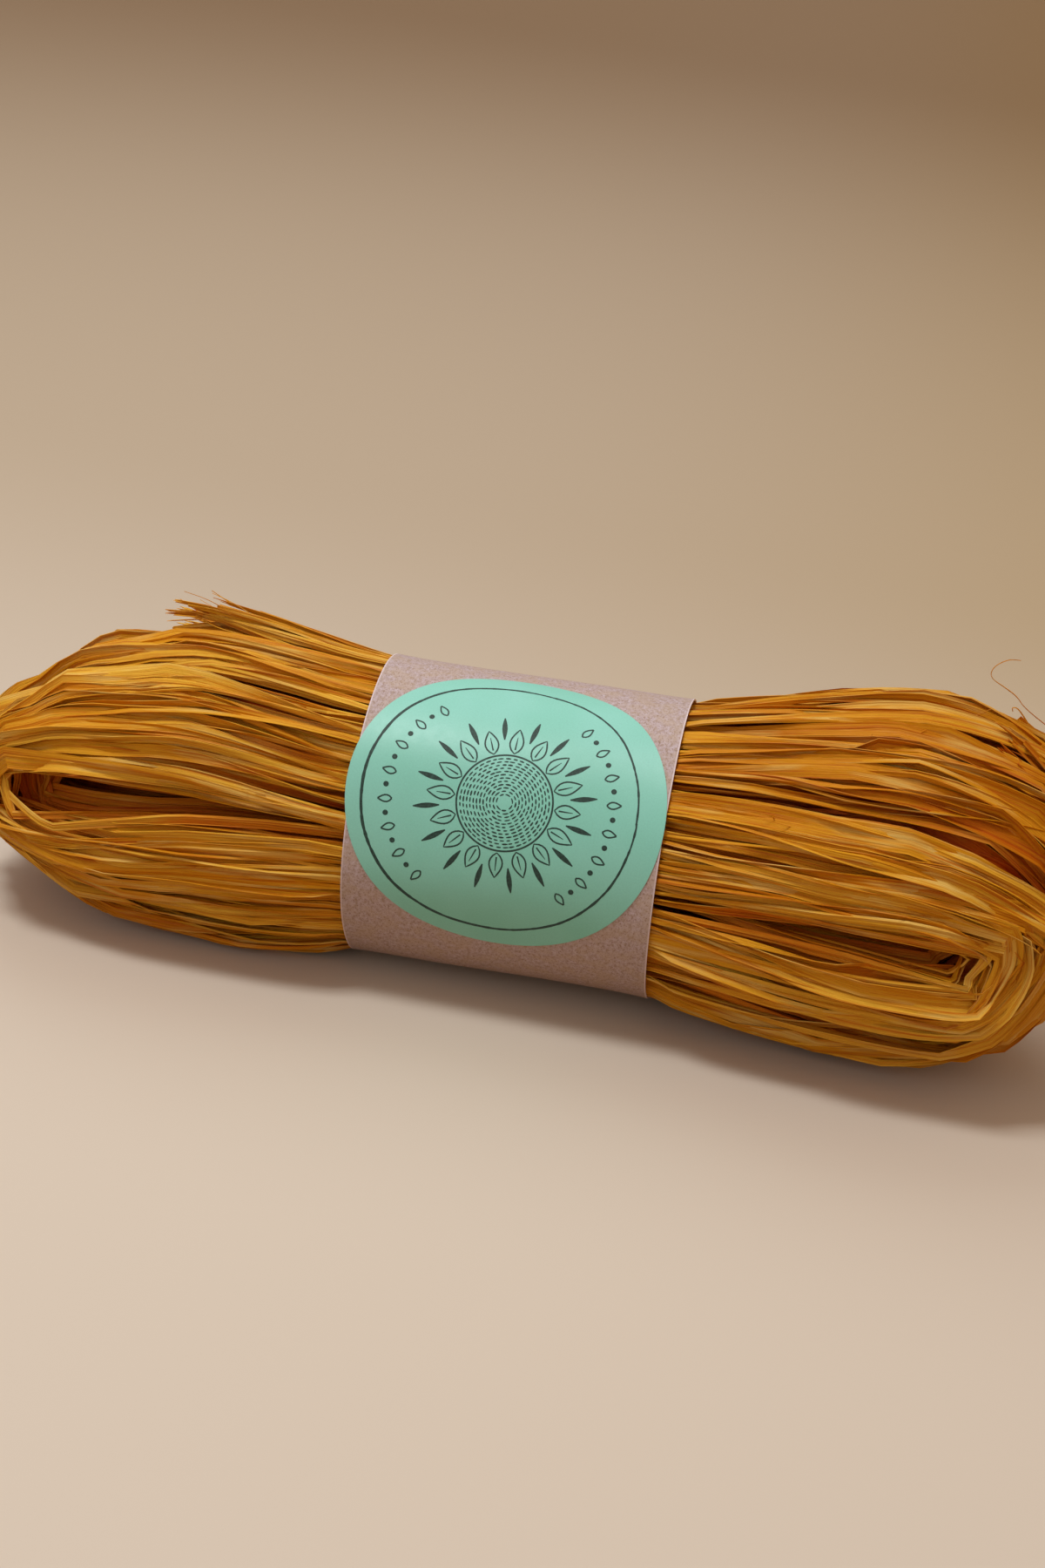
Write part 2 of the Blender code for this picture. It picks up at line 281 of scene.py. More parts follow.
def fold(path, knots, firmness):
    """Make a path run straight between its knots, as a leaf strip does between its folds."""
    knots = np.unique(np.clip(knots, 0, len(path) - 1))
    at = path[knots]
    middle = path[(knots[:-1] + knots[1:]) // 2] - (at[:-1] + at[1:]) / 2
    pushed = at.copy()
    pushed[1:] += 0.25 * middle
    pushed[:-1] += 0.25 * middle
    station = np.arange(len(path))
    straight = np.stack([np.interp(station, knots, pushed[:, axis]) for axis in range(3)], -1)
    return path + firmness * (straight - path)


def fold_stations(loops, place):
    """The stations at which a strand is folded: a few at each end, and here and there between."""
    knots = [0, len(loops) - 1]
    for turn in range(int(loops[0]) - 1, int(loops[-1]) + 2):
        for end, end_middle in (("left", 0.41), ("right", 0.91)):
            station = np.searchsorted(loops, turn + end_middle)
            v, u = place[min(station, len(place) - 1)]
            if end == "left":
                bends = np.linspace(RUN_SHARE - 0.035, 0.53, 4 if u < 0.3 else 5)
            elif abs(v) > 0.6 and u < 0.75:
                # On both faces the strands slant down to a steep stretch, then turn in a sharp tip.
                bends = np.array([0.76, 0.832, 0.852, 0.925, 1.03, 1.09])
            else:
                bends = np.linspace(0.5 + RUN_SHARE - 0.03, 1.03, 5)
            bends = bends + rng.normal(0, 0.012) + rng.normal(0, 0.008, len(bends))
            knots += [int(np.searchsorted(loops, turn + bend)) for bend in bends]
        for run_start in (0.04, 0.54):
            for share_along in rng.uniform(0, 0.23, 3):
                knots.append(int(np.searchsorted(loops, turn + run_start + share_along)))
    return np.array([knot for knot in knots if 0 <= knot < len(loops)])


PROFILE_POINTS = 9


def strand_surface(path, half_width, bends, roll, depth):
    """Sweep a folded strip along a path: its points across the strip, and how deep each lies."""
    tangent = np.gradient(path, axis=0)
    tangent /= np.linalg.norm(tangent, axis=1, keepdims=True)
    outward = path * np.array([0.0, 1.0, 1.0])
    outward[:, 0] = path[:, 0] - np.clip(path[:, 0], EYE_LEFT, EYE_RIGHT)
    outward[:, 1] /= DEPTH_RATIO ** 2
    outward -= (outward * tangent).sum(1, keepdims=True) * tangent
    outward /= np.linalg.norm(outward, axis=1, keepdims=True) + 1e-9
    side = np.cross(tangent, outward)
    wide = np.cos(roll)[:, None] * side + np.sin(roll)[:, None] * outward
    face = -np.sin(roll)[:, None] * side + np.cos(roll)[:, None] * outward
    # Each crease turns the strip by its bend; near the band the creases are pressed tighter.
    tight = 0.9 + 1.3 * part_way(np.abs(path[:, 0]), 66 * MM, 30 * MM)
    heading = np.cumsum(bends * tight[:, None], axis=1)
    heading -= heading.mean(1, keepdims=True)
    segment = 2 * half_width[:, None] / (PROFILE_POINTS - 1)
    zero = np.zeros((len(path), 1))
    along = np.cumsum(np.concatenate([zero, segment * np.cos(heading)], 1), 1)
    above = np.cumsum(np.concatenate([zero, segment * np.sin(heading)], 1), 1)
    along -= along.mean(1, keepdims=True)
    above -= above.mean(1, keepdims=True)
    surface = path[:, None] + along[..., None] * wide[:, None] + above[..., None] * face[:, None]
    depth = depth[:, None] - along * np.sin(roll)[:, None] - above * np.cos(roll)[:, None]
    slant = np.linspace(-1, 1, PROFILE_POINTS)
    for row, forward in ((0, -1), (-1, 1)):
        torn = rng.uniform(-1.5, 1.5, PROFILE_POINTS) + slant * rng.uniform(-2, 2)
        surface[row] += forward * tangent[row] * torn[:, None] * MM
    return surface, depth


FLARE = 0.65                        # how steeply the strands may spread from the band's edges
SQUASH = 1.2 * MM
FLOOR_GAP = 0.1 * MM


def press(points):
    """Keep points in the row frame inside the band and above the floor."""
    local = points - BAND_MIDDLE
    x = local[..., 0] * math.cos(PITCH) + local[..., 2] * math.sin(PITCH)
    z = local[..., 2] * math.cos(PITCH) - local[..., 0] * math.sin(PITCH)
    y = local[..., 1]
    radius = np.sqrt((y / DEPTH_RATIO) ** 2 + z ** 2) + 1e-9
    room = WAIST + 0.1 * MM + FLARE * np.clip(np.abs(x) - BAND_HALF_WIDTH - 0.5 * MM, 0, None)
    over = np.clip(radius - room + SQUASH, 0, None)
    kept = np.where(over > 0, room - SQUASH + SQUASH * np.tanh(over / SQUASH), radius)
    pressed = to_row(x, y * kept / radius, z * kept / radius)
    pressed[..., 2] = np.maximum(pressed[..., 2], FLOOR_GAP)
    return pressed


def flat_mesh(name, bm):
    """A mesh made from a bmesh, which is freed."""
    mesh = bpy.data.meshes.new(name)
    bm.to_mesh(mesh)
    bm.free()
    return mesh


def flat_points(mesh):
    """The points of a mesh that still lies flat."""
    points = np.zeros(len(mesh.vertices) * 3, np.float32)
    mesh.vertices.foreach_get("co", points)
    return points.reshape(-1, 3)


def lay_out(mesh, points, pattern):
    """Move a flat mesh's points to their places, and keep their places on the flat sheet as UVs."""
    mesh.vertices.foreach_set("co", points.astype(np.float32).ravel())
    corners = np.zeros(len(mesh.loops), np.int32)
    mesh.loops.foreach_get("vertex_index", corners)
    uv = mesh.uv_layers.new(name="UVMap")
    uv.data.foreach_set("uv", (pattern / MM)[corners].astype(np.float32).ravel())


def thicken(name, sheet, thickness, sharp_angle):
    """A piece made of a thin sheet with its thickness put on, and its sharp edges marked."""
    piece = bpy.data.objects.new(name, sheet)
    bpy.context.scene.collection.objects.link(piece)
    solid = piece.modifiers.new("thickness", "SOLIDIFY")
    solid.thickness = thickness
    solid.offset = 0
    graph = bpy.context.evaluated_depsgraph_get()
    mesh = bpy.data.meshes.new_from_object(piece.evaluated_get(graph), depsgraph=graph,
                                           preserve_all_data_layers=True)
    piece.modifiers.clear()
    piece.data = mesh
    bpy.data.meshes.remove(sheet)
    mesh.name = name
    mesh.shade_smooth()
    mesh.set_sharp_from_angle(angle=sharp_angle)
    return piece


LEAF_THICKNESS = 0.12 * MM
CREASE_ANGLE = math.radians(38)


def tint_with_painted_top_shading(middle, tint):
    """A strip's tint along its length, with painted light and shade: paler on top of the left half,
    darker and redder on top of the right half.
    """
    upper = part_way(middle[:, 2] - BAND_MIDDLE[2], 11 * MM, 23 * MM)
    return tint - 0.28 * np.clip(middle[:, 0] / (50 * MM), -0.5, 1) * upper


def strip_mesh(name, strips, thickness):
    """One piece of many strips: each has its surface, half width, tint and depth in the hank."""
    bm = bmesh.new()
    across, along, shade = [], [], []
    for surface, half_width, tint, _ in strips:
        rows, columns = surface.shape[:2]
        bmesh.ops.create_grid(bm, x_segments=columns - 1, y_segments=rows - 1, size=1)
        middle = surface[:, columns // 2]
        reached = np.concatenate([[0], np.cumsum(np.linalg.norm(np.diff(middle, axis=0), axis=1))])
        # The tint also shifts the strip's pattern, so that no two strips have the same.
        across.append((np.linspace(-1, 1, columns) * half_width[:, None]).ravel() + tint * 7)
        along.append(np.repeat(reached, columns) + tint * 3)
        # The tint carries painted light on top of the left half and painted shade on top of the right
        # half.
        shade.append(np.repeat(tint_with_painted_top_shading(middle, tint), columns))
    mesh = flat_mesh(name, bm)
    lay_out(mesh, np.concatenate([surface.reshape(-1, 3) for surface, _, _, _ in strips]),
            np.stack([np.concatenate(across), np.concatenate(along)], -1))
    buried = np.concatenate([depth.ravel() for _, _, _, depth in strips]) / MM
    for attribute, values in (("strand", np.concatenate(shade)), ("depth", buried)):
        layer = mesh.attributes.new(attribute, "FLOAT", "POINT")
        layer.data.foreach_set("value", values.astype(np.float32))
    mesh.update()
    return thicken(name, mesh, thickness, CREASE_ANGLE)


grain = bpy.data.node_groups.new("stretched_grain", "ShaderNodeTree")
grain.interface.new_socket(name="Pattern", in_out="INPUT", socket_type="NodeSocketVector")
for name in ("Across", "Along", "Detail", "Roughness"):
    grain.interface.new_socket(name=name, in_out="INPUT", socket_type="NodeSocketFloat")
grain.interface.new_socket(name="Grain", in_out="OUTPUT", socket_type="NodeSocketFloat")
given = grain.nodes.new("NodeGroupInput")
shown = grain.nodes.new("NodeGroupOutput")
scales = grain.nodes.new("ShaderNodeCombineXYZ")
stretched = grain.nodes.new("ShaderNodeVectorMath")
stretched.operation = "MULTIPLY"
noise = grain.nodes.new("ShaderNodeTexNoise")
noise.noise_dimensions = "2D"
noise.inputs["Scale"].default_value = 1
grain.links.new(given.outputs["Across"], scales.inputs["X"])
grain.links.new(given.outputs["Along"], scales.inputs["Y"])
grain.links.new(given.outputs["Pattern"], stretched.inputs[0])
grain.links.new(scales.outputs["Vector"], stretched.inputs[1])
grain.links.new(stretched.outputs["Vector"], noise.inputs["Vector"])
grain.links.new(given.outputs["Detail"], noise.inputs["Detail"])
grain.links.new(given.outputs["Roughness"], noise.inputs["Roughness"])
grain.links.new(noise.outputs["Fac"], shown.inputs["Grain"])


def new_material(name):
    """A material, and its nodes, links and shader, which the functions below add to."""
    material = bpy.data.materials.new(name)
    material.use_nodes = True
    tree = material.node_tree
    return material, tree.nodes, tree.links, tree.nodes["Principled BSDF"]


raffia, nodes, links, shader = new_material("dyed_raffia")


def attribute(name):
    """The values of an attribute of the mesh."""
    node = nodes.new("ShaderNodeAttribute")
    node.attribute_name = name
    return node.outputs["Fac"]


def sheet_pattern():
    """Where a point was on the flat sheet, in millimetres."""
    node = nodes.new("ShaderNodeUVMap")
    node.uv_map = "UVMap"
    return node.outputs["UV"]


def stretched_grain(across, along, detail, roughness=0.55):
    """The grain group in this material, with its size across and along the sheet, per mm."""
    node = nodes.new("ShaderNodeGroup")
    node.node_tree = grain
    for name, value in (("Across", across), ("Along", along), ("Detail", detail),
                        ("Roughness", roughness)):
        node.inputs[name].default_value = value
    links.new(sheet_pattern(), node.inputs["Pattern"])
    return node.outputs["Grain"]


def ramp(source, stops):
    """A colour ramp over a source, with its stops as positions and colours."""
    node = nodes.new("ShaderNodeValToRGB")
    links.new(source, node.inputs["Fac"])
    while len(node.color_ramp.elements) < len(stops):
        node.color_ramp.elements.new(0.5)
    for element, (position, colour) in zip(node.color_ramp.elements, stops):
        element.position = position
        element.color = (*colour, 1)
    return node.outputs["Color"]


def rescale(source, low, high, to_low=0, to_high=1, kind="LINEAR"):
    """A source's values between low and high, moved to between two others."""
    node = nodes.new("ShaderNodeMapRange")
    node.interpolation_type = kind
    links.new(source, node.inputs["Value"])
    for name, value in (("From Min", low), ("From Max", high), ("To Min", to_low),
                        ("To Max", to_high)):
        node.inputs[name].default_value = value
    return node.outputs["Result"]


def mix(kind, factor, a, b):
    """A colour mix whose factor and colours are sockets, colours or numbers."""
    node = nodes.new("ShaderNodeMix")
    node.data_type = "RGBA"
    node.blend_type = kind
    for socket, value in ((node.inputs[0], factor), (node.inputs[6], a), (node.inputs[7], b)):
        if isinstance(value, bpy.types.NodeSocket):
            links.new(value, socket)
        elif isinstance(value, tuple):
            socket.default_value = (*value, 1)
        else:
            socket.default_value = value
    return node.outputs[2]


def relief(height, strength, distance):
    """A bump on the material from a height."""
    node = nodes.new("ShaderNodeBump")
    node.inputs["Strength"].default_value = strength
    node.inputs["Distance"].default_value = distance
    links.new(height, node.inputs["Height"])
    links.new(node.outputs["Normal"], shader.inputs["Normal"])


BLACK, WHITE = (0, 0, 0), (1, 1, 1)
# The strips' tints, with the painted light and shade on the hank's top, through a ramp of golds and
# reds.
tinted_colour_with_top_shading = ramp(attribute("strand"), [(0.0, (0.64, 0.235, 0.002)), (0.3, (0.69, 0.285, 0.004)),
                                 (0.6, (0.75, 0.35, 0.011)), (1.0, (0.82, 0.445, 0.035))])
faded = ramp(stretched_grain(0.35, 0.045, 2), [(0.52, BLACK), (0.72, (0.75, 0.75, 0.75))])
pale = mix("MIX", faded, tinted_colour_with_top_shading, (0.83, 0.56, 0.14))
veins = ramp(stretched_grain(1.5, 0.022, 3, 0.6),
             [(0.28, (0.78, 0.46, 0.16)), (0.45, WHITE), (0.7, (1.05, 1.12, 1.3))])
streaks = stretched_grain(4.5, 0.06, 4, 0.65)
streaked = mix("MULTIPLY", 1.0, mix("MULTIPLY", 0.9, pale, veins),
               ramp(streaks, [(0.3, (0.82, 0.54, 0.25)), (0.5, WHITE), (0.75, (1.06, 1.14, 1.3))]))
# Painted shade: strips that lie deeper below the surface, in millimetres, are coloured darker and
# redder, as light that reaches them has been through others.
painted_depth_shade = ramp(rescale(attribute("depth"), 1.2, 6.5),
              [(0.0, WHITE), (0.3, (0.95, 0.61, 0.22)), (1.0, (0.86, 0.29, 0.03))])
links.new(mix("MULTIPLY", 1.0, streaked, painted_depth_shade), shader.inputs["Base Color"])
links.new(rescale(streaks, 0, 1, 0.40, 0.64), shader.inputs["Roughness"])
shader.inputs["Specular IOR Level"].default_value = 0.2
relief(stretched_grain(1.9, 0.035, 5, 0.6), 0.9, 0.45 * MM)

HANK_RADIUS = 31 * MM
# This caps the painted depth shade of strips that line the eye.
EYE_GLOW = 2.2 * MM                 # the most that strips which line the eye count as buried


def leaf_strip(path, place, width, creases, looseness=1):
    """The surface of one leaf strip along a path, with its own creases, curl and roll."""
    length = len(path)
    place = place[-length:]
    depth = (SKIN - np.hypot(place[:, 0], place[:, 1])) * HANK_RADIUS
    depth = np.minimum(depth, place[:, 1] * HANK_RADIUS + EYE_GLOW)
    half_width = width * (1 + drift(1, length, (30, 80), (0.12, 0.18))[0])
    from_end = np.minimum(np.arange(length), np.arange(length)[::-1])
    half_width = half_width * np.clip(0.45 + 0.14 * from_end, 0, 1)
    bends = (rng.normal(0, 16, PROFILE_POINTS - 1) + rng.uniform(4, 16)) * looseness
    way = rng.choice([-1, 1])
    for crease in sorted(rng.choice(np.arange(1, PROFILE_POINTS - 1), creases, replace=False)):
        bends[crease] += rng.uniform(45, 105) * way
        way = -way
    bends = np.radians(bends)[None] * (1 + drift(1, length, (24, 60), (0.2, 0.25))[0][:, None])
    bends = bends + np.radians(1) * drift(PROFILE_POINTS - 1, length, (20, 45), (8, 14)).T
    roll = math.radians(rng.normal(0, 32)) + drift(1, length, (26, 70), (0.2, 0.35))[0]
    surface, depth = strand_surface(path, half_width, bends, roll * looseness, depth)
    return surface, half_width, depth


FACE_WISPS = (0, 5)                 # on the hank's two faces the folds are the sharpest
TUCKED_WISPS = (6, 7)               # their cut ends, low on the right, are tucked in
RED_END_WISPS = (8, 11)             # their cut ends, on the top right, rise a little
TUFT_WISPS = (9, 10)                # theirs, on the top left, rise from the band and split
RISING, SPLIT = 9, 17               # the tuft's last stations, which spread and which are split
RED_RISING = 5
SURFACE, BURIED_STEP = 0.76, 4      # inside this radius only every fourth station is kept

places, laps, wisps = lay_strands()
settled = np.arange(places.shape[1])
fine = np.arange((places.shape[1] - 1) * FINER + 1) / FINER
length = len(fine)
station = np.arange(length)
strips = {wisp: [] for wisp in range(12)}
sinking = np.random.default_rng(4)
for strand, wisp in enumerate(wisps):
    place = np.stack([np.interp(fine, settled, places[strand, :, axis]) for axis in (0, 1)], -1)
    for _ in range(2):
        place[1:-1] = 0.5 * place[1:-1] + 0.25 * (place[:-2] + place[2:])
    place = place + np.stack([drift(1, length, (9, 17), (0.005, 0.010))[0],
                              drift(1, length, (9, 17), (0.004, 0.008))[0]], -1)
    # Here and there a stretch has sunk between its neighbours, and leaves a furrow.
    sunk = np.clip(drift(1, length, (26, 55), (0.9, 0.9), sinking)[0], 0, 1)
    place = place * (1 - 0.06 * sunk)[:, None]
    place[:, 1] = np.maximum(place[:, 1], 0.015)
    if wisp in TUCKED_WISPS:
        from_end = np.minimum(station, station[::-1])
        place = place * (1 - 0.17 * part_way(from_end, 12, 3))[:, None]
    loops = (laps[strand] + fine) / TURN_STATIONS
    path = strand_path(place, loops, rng.uniform(6, 20) * MM)
    firmness = 1 if wisp in FACE_WISPS else 0.6
    path = fold(path, fold_stations(loops, place), rng.uniform(0.45, 0.95) * firmness)
    cut_start, cut_end = rng.integers(0, 4, 2)
    tint = rng.uniform()
    width = rng.uniform(1.4, 2.9) * MM
    if wisp in TUFT_WISPS:
        cut_end = rng.integers(0, 3)
        away = np.clip(station - (length - 1 - cut_end - RISING), 0, None) / RISING
        spread = np.array([-3.5, rng.normal(0, 1.5), rng.uniform(-0.3, 4.8)]) * MM
        path = path + away[:, None] ** 2.4 * spread
        width = width * (1 - 0.12 * np.clip(away * 1.5, 0, 1))
        last = slice(-SPLIT - cut_end, length - cut_end)
        for side in (-1, 1):
            split = path[last] + away[last, None] * rng.normal(0, 0.7, 3) * MM
            split[:, 1] += side * rng.uniform(0.8, 1.6) * MM
            surface, half_width, depth = leaf_strip(split[rng.integers(1, 4):], place[-len(split):],
                                                    rng.uniform(0.9, 1.7) * MM, 2)
            strips[wisp].append((press(settle(surface)), half_width, rng.uniform(), 0 * depth))
        tint = 0.5 + 0.5 * tint
    elif wisp in RED_END_WISPS:
        tint *= 0.4
        away = np.clip(station - (length - 1 - cut_end - RED_RISING), 0, None)[:, None] / RED_RISING
        rise = np.array([rng.uniform(-1, 1), 0, rng.uniform(0.5, 3)]) * MM
        path = path + away ** 1.5 * rise
    surface, half_width, depth = leaf_strip(path, place, width, rng.integers(3, 6))
    buried = (np.hypot(place[:, 0], place[:, 1]) < SURFACE) & (place[:, 1] > 0.15)
    buried |= np.abs(path[:, 0]) < BAND_HALF_WIDTH - 3 * MM
    kept = (~buried | (station % BURIED_STEP == 0)) & (station >= cut_start)
    kept &= station < length - cut_end
    if wisp in TUFT_WISPS:
        # The tuft's rising ends get less of the painted depth shade.
        depth = depth * (1 - np.clip(3 * away, 0, 1))[:, None]
    strips[wisp].append((press(settle(surface[kept])), half_width[kept], tint, depth[kept]))

for wisp in range(12):
    ring = ("inner", "outer")[wisp // 6]
    node = f"raffia_wisp_{ring}_{wisp % 6 + 1}"
    piece = strip_mesh(node + "_strands", strips[wisp], LEAF_THICKNESS)
    piece.data.materials.append(raffia)
    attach(piece, "root")
    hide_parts(node)

# --- Crossing strands and stray fibres --------------------------------------------------------
# Some leaf strips slipped out of the winding and cross the others' surface at a slant, round one
# end, from the band to the band.  Fibres split from the strips stick out here and there.

CROSSING_INSET = 8 * MM


def crossing_loops(number):
    """The stations of a crossing strip: round the right end if its number is even, or the left."""
    from_share, to_share = (-0.335, 0.155) if number % 2 == 0 else (0.155, 0.665)
    return np.arange(from_share, to_share, 1 / (FINER * TURN_STATIONS))


def lay_across(loops, around, radius, face=-1):
    """A crossing strip's places and folded path, from its angle round the hank and its radius."""
    place = np.stack([face * radius * np.cos(around), radius * np.sin(around)], -1)
    path = strand_path(place, loops, CROSSING_INSET)
    return place, fold(path, fold_stations(loops, place), rng.uniform(0.3, 0.65))


crossing = []
for number in range(26):
    loops = crossing_loops(number)
    if number in (0, 8):
        # Broken off on the top.
        loops = loops[loops < 0.08]
    length = len(loops)
    around = rng.uniform(0.12, 1.35) + rng.normal(0, 0.22) * np.linspace(-1, 1, length)
    around = np.clip(around + drift(1, length, (30, 60), (0.04, 0.08))[0], 0.06, 3.0)
    radius = rng.uniform(0.955, 0.99) + drift(1, length, (20, 40), (0.006, 0.008))[0]
    place, path = lay_across(loops, around, radius, face=1 if number % 5 == 4 else -1)
    surface, half_width, depth = leaf_strip(path, place, rng.uniform(0.7, 2.2) * MM,
                                            rng.integers(1, 4))
    crossing.append((press(settle(surface)), half_width, rng.uniform(), depth))
for number in range(16):
    # Broad strips that lie flat on the near face, with hardly a crease.
    loops = crossing_loops(number)
    length = len(loops)
    around = 0.18 + 1.1 * (number // 2 + rng.uniform(0.1, 0.9)) / 8
    around = around + rng.normal(0, 0.10) * np.linspace(-1, 1, length)
    around = np.clip(around + drift(1, length, (30, 60), (0.03, 0.05))[0], 0.08, 1.5)
    radius = rng.uniform(0.95, 0.98) + drift(1, length, (20, 40), (0.005, 0.006))[0]
    place, path = lay_across(loops, around, radius)
    surface, half_width, depth = leaf_strip(path, place, rng.uniform(1.9, 3.0) * MM, 1,
                                            looseness=0.45)
    crossing.append((press(settle(surface)), half_width, rng.uniform(0.4, 1), depth))
piece = strip_mesh("raffia_crossing_strands", crossing, LEAF_THICKNESS)
piece.data.materials.append(raffia)
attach(piece, "root")

FIBRE_THICKNESS = 0.08 * MM


def smooth_line(points, rounds=3):
    """A line with its corners cut, again and again."""
    points = np.asarray(points, float)
    for _ in range(rounds):
        cut = np.empty((2 * len(points) - 2, 3))
        cut[0::2] = 0.75 * points[:-1] + 0.25 * points[1:]
        cut[1::2] = 0.25 * points[:-1] + 0.75 * points[1:]
        points = np.vstack([points[:1], cut, points[-1:]])
    return points


def fibre(points, width):
    """A thin flat fibre along points given in hank space, in millimetres, root first."""
    path = smooth_line(points) * MM
    tangent = np.gradient(path, axis=0)
    side = np.cross(tangent, rng.normal(0, 1, 3))
    side /= np.linalg.norm(side, axis=1, keepdims=True)
    half_width = width / 2 * np.linspace(1, 0.35, len(path))
    side = side * half_width[:, None]
    surface = path[:, None] + np.linspace(-1, 1, 3)[None, :, None] * side[:, None]
    surface = to_row(surface[..., 0], surface[..., 1], surface[..., 2])
    return surface, half_width, rng.uniform(), np.zeros(surface.shape[:2])


# The two curled fibres over the right end, and three short ones beside the band.
fibres = [
    fibre([(97, 9, 33), (91.1, 9, 36.6), (89.5, 9, 38.6), (86.9, 10, 39.7), (83.9, 10, 41.2),
           (84.2, 10, 43.4), (86.7, 10, 45.3), (89.0, 10, 45.4)], 0.30 * MM),
    fibre([(99, 7, 27), (94, 9, 31.6), (91.5, 10, 34.4), (90.0, 10, 36.0), (89.0, 10, 35.9),
           (89.3, 10, 35.1)], 0.35 * MM),
    fibre([(60, 7, 29.5), (57.2, 8, 32.0), (55.2, 9, 33.6)], 0.3 * MM),
    fibre([(62, 9, 29.5), (58.2, 9, 32.4), (57.2, 10, 34.0)], 0.25 * MM),
    fibre([(66, 4, 31.0), (59.0, 4, 32.6), (54.0, 4, 32.8)], 0.3 * MM),
]
for number in range(30):
    if number < 7:
        # In the tuft on the top left.
        tip = np.array([rng.uniform(-77, -68), rng.uniform(4, 13), rng.uniform(29, 34.5)])
        root = tip + np.array([rng.uniform(5, 10), rng.normal(0, 1), rng.uniform(-4, -2)])
    elif number < 16:
        # On top of the right end.
        tip = np.array([rng.uniform(84, 90), rng.uniform(0, 14), rng.uniform(30, 34)])
        root = tip + np.array([rng.uniform(6, 12), rng.normal(0, 1.5), rng.uniform(-7, -3)])
    else:
        # Anywhere else on the near side and the top.
        x = rng.choice([-1, 1]) * rng.uniform(36, 90)
        turn = rng.uniform(0.2, 2.6)
        half_height = reach(x * MM, np.pi / 2) / MM - 1
        half_depth = DEPTH_RATIO * full_height(x * MM) / MM - 1
        root = np.array([x, -half_depth * math.cos(turn), half_height * math.sin(turn)])
        tip = root + np.array([rng.normal(0, 7), -2.4 * math.cos(turn), 2.4 * math.sin(turn)])
    bow = (root + tip) / 2 + rng.normal(0, 0.8, 3)
    fibres.append(fibre([root, bow, tip], rng.uniform(0.15, 0.35) * MM))
piece = strip_mesh("raffia_stray_fibres", fibres, FIBRE_THICKNESS)
piece.data.materials.append(raffia)
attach(piece, "root")

# --- The paper band ---------------------------------------------------------------------------
# A strip of recycled kraft paper, pinkish and speckled with fibres, is wrapped tightly round the
# hank's waist.  Its ends lap at the back, where they are glued.

SEAM_ANGLE = math.radians(160)      # from the near side, upwards
SEAM_LAP = math.radians(58)         # so the strip is as long as an A4 sheet is wide
CLIMB = math.radians(20)            # over which the outer end climbs on to the inner one
GLUE = 0.12 * MM
BAND_LIFT = 0.15 * MM               # of its outside above the floor
RIPPLE, TURNED_EDGE = 0.10 * MM, 0.25 * MM
PAINTED_EDGE_HIGHLIGHT = (29.15, 29.45)           # where a painted highlight runs along its cut edges, in mm from its middle

turning = np.linspace(0, 2 * np.pi, 1441)
steps = np.hypot(np.diff(DEPTH_RATIO * BAND_HALF_HEIGHT * np.cos(turning)),
                 np.diff(BAND_HALF_HEIGHT * np.sin(turning)))
girth = np.concatenate([[0], np.cumsum(steps)])


def round_band(x, angle, lift):
    """The point on the band's outside at x and an angle from the near side, in the row frame."""
    ripple = RIPPLE * (np.sin(3 * angle + x / (9 * MM)) + np.sin(7 * angle - x / (14 * MM) + 1))
    ripple = ripple + TURNED_EDGE * np.clip(np.abs(x) / BAND_HALF_WIDTH, 0, 1) ** 8
    out = lift + ripple - RIPPLE
    point = to_row(x + 0 * angle, -(DEPTH_RATIO * BAND_HALF_HEIGHT + out) * np.cos(angle),
                   (BAND_HALF_HEIGHT + out) * np.sin(angle))
    point[..., 2] = np.maximum(point[..., 2], BAND_LIFT)
    return point


bm = bmesh.new()
bmesh.ops.create_grid(bm, x_segments=24, y_segments=200, size=1)
mesh = flat_mesh("flat_paper_band", bm)
flat = flat_points(mesh)
x = flat[:, 0] * BAND_HALF_WIDTH
round_share = (flat[:, 1] + 1) / 2
angle = SEAM_ANGLE + round_share * (2 * np.pi + SEAM_LAP)
climb = part_way(angle, SEAM_ANGLE + 2 * np.pi - CLIMB, SEAM_ANGLE + 2 * np.pi)
climb = climb * climb * (3 - 2 * climb)
strip_length = girth[-1] * (1 + SEAM_LAP / (2 * np.pi))
lay_out(mesh, round_band(x, angle, -PAPER / 2 + climb * (PAPER + GLUE)),
        np.stack([x, round_share * strip_length], -1))
band = thicken("paper_band_sheet", mesh, PAPER, math.radians(30))

kraft, nodes, links, shader = new_material("speckled_kraft_paper")
ground = ramp(stretched_grain(1.3, 1.1, 4, 0.7), [(0.32, (0.38, 0.275, 0.22)),
                                                  (0.5, (0.50, 0.395, 0.40)),
                                                  (0.68, (0.57, 0.485, 0.535))])
clouds = ramp(stretched_grain(0.22, 0.3, 2), [(0.4, BLACK), (0.65, (0.55, 0.55, 0.55))])
specks = ramp(stretched_grain(3.1, 2.4, 3, 0.7), [(0.34, (0.62, 0.52, 0.46)), (0.42, WHITE)])
speckled = mix("MULTIPLY", 1.0, mix("MIX", clouds, ground, (0.50, 0.38, 0.29)), specks)
separate = nodes.new("ShaderNodeSeparateXYZ")
links.new(sheet_pattern(), separate.inputs[0])
from_middle = nodes.new("ShaderNodeMath")
from_middle.operation = "ABSOLUTE"
links.new(separate.outputs["X"], from_middle.inputs[0])
